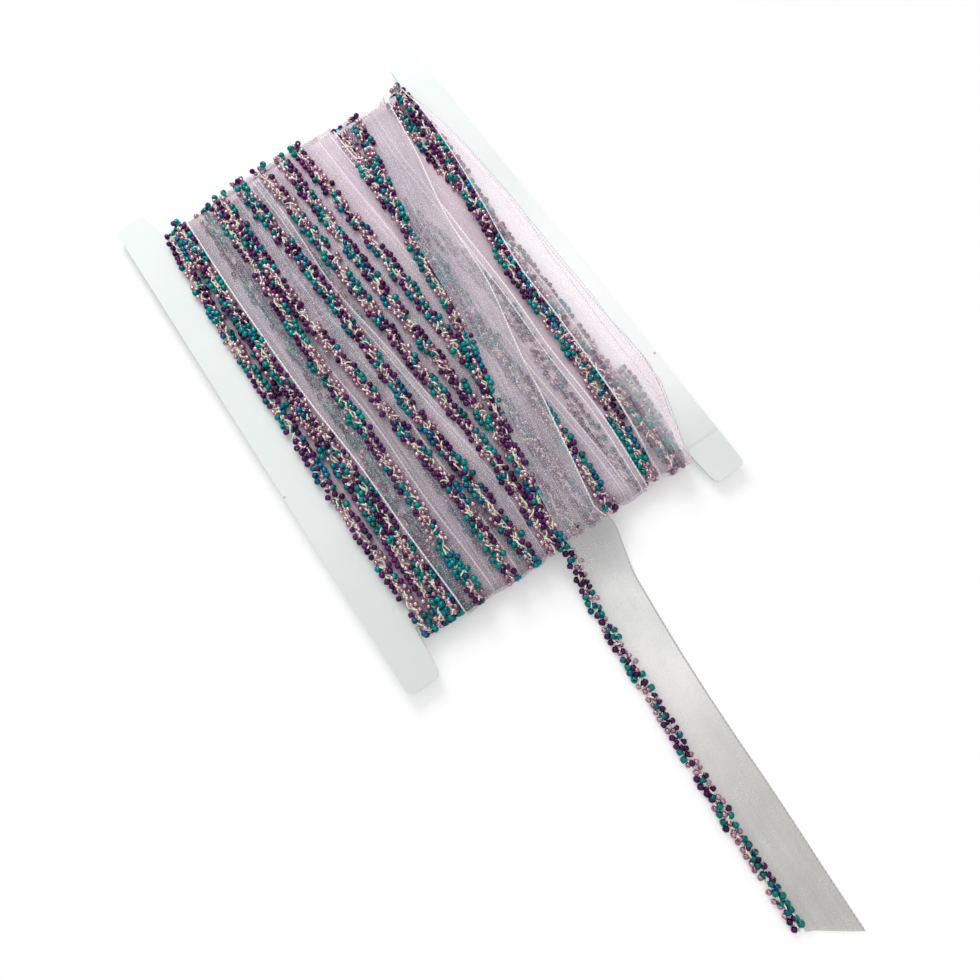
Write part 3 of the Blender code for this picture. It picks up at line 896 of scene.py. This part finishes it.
fine_bead = spun_bead(FINE_WALL, 9)
coarse_bead = spun_bead(COARSE_WALL, 7)
print("faces in a bead:", len(fine_bead[1]), "or", len(coarse_bead[1]))

# %% [markdown]
# ## The beading
#
# The beads are strung on crochet cotton and worked into a flat plait about two beads wide: beads down its left
# side, beads down its right, and some in the middle, above or below the thread. Beads of one colour come in short
# runs. Three lanes of beads with uneven steps give that look, from a seeded random source.

# %% Stringing beads
LANES = (
    # offset, step, low, high, chance of a gap
    (-1.4, 2.05, 0.95, 1.25, 0.05),
    (1.4, 2.05, 0.95, 1.25, 0.05),
    (0.0, 2.5, 0.8, 1.45, 0.12),
)
KINDS = ("teal", "blue", "plum", "pink")
SHARE = (0.25, 0.08, 0.37, 0.30)
MIDDLE_SHARE = (0.14, 0.04, 0.21, 0.61)
VEILED_SHARE = (0.36, 0.10, 0.44, 0.10)
STAY = 0.42
SIZE = {"teal": 0.98, "blue": 0.96, "plum": 0.90, "pink": 0.81}
BEAD_SEED, LOOSE_SEED = 100, 7


def colour_run(count, share, chance):
    """Kinds of bead in short runs."""
    kinds = chance.choice(len(KINDS), size=count, p=share)
    for i in range(1, count):
        if chance.random() < STAY:
            kinds[i] = kinds[i - 1]
    return kinds


def string_beads(length, chance, share, middle_share, gaps=1.0):
    """Beads for a length of trim: distance along, offset across, lift and kind."""
    strung = []
    for offset, step, low, high, gap in LANES:
        count = int(length / step)
        along = (np.arange(count) + chance.uniform(0, 1) + chance.uniform(-0.16, 0.16, count)) * step
        kept = (chance.random(count) > gap * gaps) & (along < length)
        along = along[kept]
        wander = 0.14 * np.sin(along * 0.55 + chance.uniform(0, 6))
        across = offset + wander + chance.normal(0, 0.32, len(along))
        lift = chance.uniform(low, high, len(along))
        kind = colour_run(len(along), middle_share if offset == 0 else share, chance)
        strung.append(np.stack([along, across, lift, kind], 1))
    return np.concatenate(strung)


# %% [markdown]
# Each bead needs its place, the way its hole points, its size and its tone. They are worked out as arrays for a
# whole turn at once, and one mesh for each colour holds all of its beads.

# %% Placing the beads
# Beads that face up by less than this are in the coarser meshes.
FACING = -0.2
bead_store = {(zone, kind): [] for zone in ("front", "under", "loose") for kind in KINDS}


def bead_frames(tangents, chance):
    """Turns each bead so that its hole lies along the thread, which slants from side to side."""
    count = len(tangents)
    slant = chance.uniform(-1.1, 1.1, count)[:, None]
    tilt = chance.normal(0, 0.35, (count, 3))
    hole = tangents * np.cos(slant) + [1.0, 0.0, 0.0] * np.sin(slant) + tilt
    hole /= np.linalg.norm(hole, axis=1)[:, None]
    side = np.cross(hole, chance.normal(0, 1, (count, 3)))
    side /= np.linalg.norm(side, axis=1)[:, None]
    return np.stack([side, np.cross(hole, side), hole], 2)


def store_beads(zone_of, points, ahead, kinds, chance, painted_shade_cap=1.0):
    """Keeps the beads' places, frames, sizes and tones, capped for painted shade. The thread runs from each point to
    the one ahead.
    """
    tangents = ahead - points
    tangents /= np.linalg.norm(tangents, axis=1)[:, None]
    frames = bead_frames(tangents, chance)
    tones = chance.uniform(0, painted_shade_cap, len(points))
    for number, kind in enumerate(KINDS):
        for zone in np.unique(zone_of):
            chosen = (kinds == number) & (zone_of == zone)
            size = SIZE[kind] * chance.uniform(0.92, 1.06, chosen.sum())
            bead_store[zone, kind].append((points[chosen], frames[chosen], size, tones[chosen]))


def turn_at(turn, station):
    """The x and the seat of a turn's beading at stations that may lie between two."""
    rows = np.flatnonzero(turn["here"])
    return np.interp(station, rows, turn["way"][rows]), np.interp(station, rows, turn["seat"][rows])


def beads_on_turn(index):
    turn = turns[index]
    chance = np.random.default_rng(BEAD_SEED + index)
    rows = np.flatnonzero(turn["here"])
    base = place_on_way(rows.astype(float), turn["way"][rows], turn["seat"][rows] + 1.2) / MM
    steps = np.concatenate([[0], np.linalg.norm(np.diff(base, axis=0), axis=1).cumsum()])
    veiled = turn["name"] in BURIED + ("far_right", "start")
    shares = (VEILED_SHARE, VEILED_SHARE) if veiled else (SHARE, MIDDLE_SHARE)
    strung = string_beads(steps[-1], chance, *shares)
    station = np.interp(strung[:, 0], steps, rows)
    x, seat = turn_at(turn, station)
    x = x + strung[:, 1]
    facing = np.interp(np.mod(station, STATIONS), np.arange(STATIONS), out_z)
    lift = seat + np.where(facing < BEHIND, np.minimum(strung[:, 2], BACK_LIFT), strung[:, 2])
    seen = (facing > FACING) & (turn["name"] not in BURIED + ("start", "under_right"))
    zone_of = np.where(seen, "front", "under")
    points, ahead = (place_on_way(station + step, x, lift) for step in (0, 0.2))
    store_beads(zone_of, points, ahead, strung[:, 3], chance)
    return len(points)


bead_count = sum(beads_on_turn(index) for index in range(len(TURNS)))
print("beads on the winding:", bead_count)

# %% Beads on the loose end
loose_chance = np.random.default_rng(LOOSE_SEED)
LOOSE_NARROWER = 0.86
LOOSE_LOWEST = 1.14
# Painted shade: the loose end's beads get only the darker part of their tones.
LOOSE_BEADS_PAINTED_DARKER = 0.55
BEADS_PAST_CUT = 2.2
loose_y = np.linspace(LOWER_BEND, CUT_LEFT[1] - BEADS_PAST_CUT, 240)
last_turn = turns[-1]
last_top = place_on_way(np.array([float(FACE_STEPS)]), last_turn["way"][[FACE_STEPS]],
                        last_turn["seat"][[FACE_STEPS]])[0, 2] / MM
loose_settle = ease((LOWER_BEND - loose_y) / SETTLE_LENGTH)
loose_x = last_turn["way"][FACE_STEPS] * (1 - loose_settle) + loose_beading_x(loose_y) * loose_settle
loose_line = np.stack([loose_x, loose_y, drop_from(last_top, loose_y) - REST_LIFT], 1)
loose_steps = np.concatenate([[0], np.linalg.norm(np.diff(loose_line, axis=0), axis=1).cumsum()])


def loose_place(along, across, lift):
    x, y, z = (np.interp(along, loose_steps, loose_line[:, axis]) for axis in range(3))
    return np.stack([x + LOOSE_NARROWER * across, y + CARD_Y, z + lift], -1) * MM


strung = string_beads(loose_steps[-1], loose_chance, SHARE, SHARE, gaps=0.2)
strung[:, 2] = np.maximum(strung[:, 2], LOOSE_LOWEST)
loose_points, loose_ahead = (loose_place(strung[:, 0] + step, strung[:, 1], strung[:, 2]) for step in (0, 0.5))
loose_ahead[:, 1] -= 1e-6
store_beads(np.full(len(strung), "loose"), loose_points, loose_ahead, strung[:, 3], loose_chance,
            LOOSE_BEADS_PAINTED_DARKER)


# %% One mesh for each colour


def joined_beads(name, template, batches, material):
    """Copies of one bead at all the places, as one mesh with a tone for each bead."""
    shape, faces = template
    points, frames, sizes, tones = (np.concatenate(items) for items in zip(*batches))
    verts = np.einsum("nij,vj->nvi", frames, shape) * sizes[:, None, None] * MM + points[:, None, :]
    quads = faces[None] + (np.arange(len(points)) * len(shape))[:, None, None]
    mesh = bpy.data.meshes.new(name)
    mesh.from_pydata(verts.reshape(-1, 3), [], quads.reshape(-1, 4).tolist())
    mesh.polygons.foreach_set("use_smooth", np.ones(len(mesh.polygons), dtype=bool))
    tone = mesh.attributes.new("tone", "FLOAT", "POINT")
    tone.data.foreach_set("value", np.repeat(tones, len(shape)).astype(np.float32))
    mesh.materials.append(material)
    return new_piece(name, mesh)


for (zone, kind), batches in bead_store.items():
    template = coarse_bead if zone == "under" else fine_bead
    piece = joined_beads("beads_%s_%s" % (kind, zone), template, batches, bead_finishes[kind])
    if zone == "loose":
        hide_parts("loose_end_beading")
    print(piece.name, 2 * len(piece.data.polygons), "triangles")

# %% [markdown]
# ## The crochet thread
#
# Cream cotton shows between the beads. Two strands swing from side to side under the beads, half a swing apart, and
# short curved stitches come up over them here and there, as in crochet. A curve object with a round bevel carries
# all the thread of one side. The bevel is one metre deep and each point's radius brings it down to the thread's, so
# that the object's box is as large as it looks.

# %% Threads
SWING = 6.2
SWING_WIDTH = 0.75
STRANDS = 2
THREAD = 0.48
STITCH_EVERY = 2.3
STITCH_REACH = (1.7, 3.0)
STITCH_SLANT = 1.25
STITCH_SPREAD = 0.75
STITCH_SEED = 11
# How far apart a strand's points are, in stations on the winding and in mm on the loose end, and how far each turn's
# swing is shifted.
STRAND_STEP, LOOSE_STRAND_STEP = 0.9, 1.2
PHASE, LOOSE_PHASE = 1.3, 0.4
stitch_share = np.linspace(-0.5, 0.5, 5)


def thread_object(name):
    curve = bpy.data.curves.new(name, "CURVE")
    curve.dimensions = "3D"
    curve.bevel_depth = 1.0
    curve.bevel_resolution = 1
    curve.use_fill_caps = True
    curve.materials.append(thread_cream)
    return new_piece(name, curve)


def add_strand(piece, points):
    spline = piece.data.splines.new("POLY")
    spline.points.add(len(points) - 1)
    spline.points.foreach_set("co", np.concatenate([points, np.ones((len(points), 1))], 1).ravel())
    spline.points.foreach_set("radius", np.full(len(points), THREAD / 2 * MM))
    spline.use_smooth = True


def strand_swing(along, strand, phase):
    angle = 2 * np.pi * (along / SWING + strand / STRANDS) + phase
    short = 2.37 * angle + 2 * phase
    return SWING_WIDTH * np.sin(angle) + 0.35 * np.sin(short), 0.6 + 0.25 * np.cos(angle + strand)


def stitches(length, chance):
    """Short strokes of thread that arch over the beads: along, across and lift of the points of each."""
    count = int(length / STITCH_EVERY)
    middle = (np.arange(count) + chance.uniform(0, 1, count)) * STITCH_EVERY
    offset = chance.uniform(-STITCH_SPREAD, STITCH_SPREAD, count)
    slant = chance.uniform(-STITCH_SLANT, STITCH_SLANT, count)
    reach = chance.uniform(*STITCH_REACH, count)
    bow = chance.uniform(-0.55, 0.55, count)
    top = chance.uniform(1.25, 1.95, count)
    arch = 1 - (2 * stitch_share) ** 2
    ahead = reach[:, None] * stitch_share
    aside = bow[:, None] * arch
    along = middle[:, None] + ahead * np.cos(slant)[:, None] - aside * np.sin(slant)[:, None]
    across = offset[:, None] + ahead * np.sin(slant)[:, None] + aside * np.cos(slant)[:, None]
    return np.clip(along, 0, length), across, top[:, None] - 0.9 * (1 - arch)


# %% Threads of the winding
threads_front = thread_object("threads_front")
threads_under = thread_object("threads_under")
stitch_chance = np.random.default_rng(STITCH_SEED)


def add_on_turn(piece, turn, station, across, lift):
    x, seat = turn_at(turn, station)
    add_strand(piece, place_on_way(station, x + across, seat + lift))


for index, turn in enumerate(turns):
    rows = np.flatnonzero(turn["here"])
    front_rows = rows[rows <= FRONT_END]
    for strand in range(STRANDS):
        for piece, inside in ((threads_front, front_rows), (threads_under, rows[rows >= FRONT_END])):
            if len(inside) < 4 or (piece == threads_front and turn["name"] in BURIED):
                continue
            station = np.arange(inside[0], inside[-1], STRAND_STEP)
            add_on_turn(piece, turn, station, *strand_swing(station * STEP_ALONG, strand, PHASE * index))
    if len(front_rows) < 4 or turn["name"] in BURIED + ("under_right",):
        continue
    for along, across, lift in zip(*stitches((len(front_rows) - 1) * STEP_ALONG, stitch_chance)):
        add_on_turn(threads_front, turn, front_rows[0] + along / STEP_ALONG, across, lift)

# %% Threads of the loose end
threads_loose = thread_object("threads_loose")
for strand in range(STRANDS):
    along = np.arange(0.0, loose_steps[-1], LOOSE_STRAND_STEP)
    across, lift = strand_swing(along, strand, LOOSE_PHASE)
    add_strand(threads_loose, loose_place(along, across, lift))
for along, across, lift in zip(*stitches(loose_steps[-1], stitch_chance)):
    add_strand(threads_loose, loose_place(along, across, lift))

# %% [markdown]
# ## The card
#
# The card is the CAD solid itself. It gets the finish of smooth white board: a slow mottle, a faint cool tint and a
# soft grain. Over that come masks that fade out round their places: the crease across the lower end of the
# right-hand flange, darkened along its line as painted shade, painted light that whitens the stretch above it, and
# two small nicks, painted dark.

# %% The board and its crease
CREASE_Y, CREASE_WIDTH = -77.0, 0.7
CREASE_FROM, CREASE_FULL = 46.0, 48.0
card_board, card_shader = plain_material("card_board", (0.74, 0.78, 0.77), 0.55)
tree = card_board.node_tree
place = object_place(tree)
spot = add_node(tree, "ShaderNodeSeparateXYZ", Vector=place).outputs
card_color = mottled(tree, place, 14.0, (0.77, 0.81, 0.80), (0.71, 0.75, 0.74))
card_grain = noise(tree, place, 900.0, 3.0)
from_crease = math_node(tree, "ABSOLUTE", math_node(tree, "SUBTRACT", spot["Y"], (CREASE_Y + CARD_Y) * MM))
on_crease = ranged(tree, from_crease, 0.0, CREASE_WIDTH * MM, 1.0, 0.0)
on_flange = ranged(tree, spot["X"], CREASE_FROM * MM, CREASE_FULL * MM)
crease_groove_and_shade = math_node(tree, "MULTIPLY", on_crease, on_flange)
# Painted shade: the crease's line is darkened; the same mask makes its groove in the bump below.
card_color = mixed(tree, math_node(tree, "MULTIPLY", crease_groove_and_shade, 0.35), card_color, (0.55, 0.58, 0.57))

# %% Painted light on the right-hand flange
PAINTED_LIGHT_FROM, PAINTED_LIGHT_FULL = 44.0, 50.0
PAINTED_LIGHT_ENDS = (
    # from y, to y, from share, to share
    (-76.0, -52.0, 0.0, 1.0),
    (-15.0, 35.0, 1.0, 0.0),
)
# Painted light: the right-hand flange is mixed towards white over this stretch.
painted_light = ranged(tree, spot["X"], PAINTED_LIGHT_FROM * MM, PAINTED_LIGHT_FULL * MM, 0.0, 0.8)
for low, high, to_low, to_high in PAINTED_LIGHT_ENDS:
    fade = ranged(tree, spot["Y"], (CARD_Y + low) * MM, (CARD_Y + high) * MM, to_low, to_high, smooth=True)
    painted_light = math_node(tree, "MULTIPLY", painted_light, fade)
card_color = mixed(tree, painted_light, card_color, (0.93, 0.94, 0.94))

# %% The nicks
NICKS = ((-58.6, -20.0), (58.4, -47.0))
NICK_SIZE, NICK_REACH, NICK_ROUGH = 0.6, 1.1, 1.2
nick_marks = []
for x, y in NICKS:
    near = add_node(tree, "ShaderNodeVectorMath", {"operation": "DISTANCE"}, n0=place,
                    n1=(x * MM, (y + CARD_Y) * MM, CARD_FRONT * MM)).outputs["Value"]
    spread = math_node(tree, "MULTIPLY_ADD", card_grain, NICK_ROUGH * MM, near)
    nick_marks.append(ranged(tree, spread, NICK_SIZE * MM, NICK_REACH * MM, 0.75, 0.0))
# Each nick is painted dark round its place.
card_color = mixed(tree, math_node(tree, "MAXIMUM", *nick_marks), card_color, (0.12, 0.11, 0.12))
tree.links.new(card_color, card_shader.inputs["Base Color"])
card_height = math_node(tree, "SUBTRACT", math_node(tree, "MULTIPLY", card_grain, 0.3), crease_groove_and_shade)
bump_into(card_shader, tree, card_height, 0.3, 0.0003)
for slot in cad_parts["card"].material_slots:
    slot.material = card_board
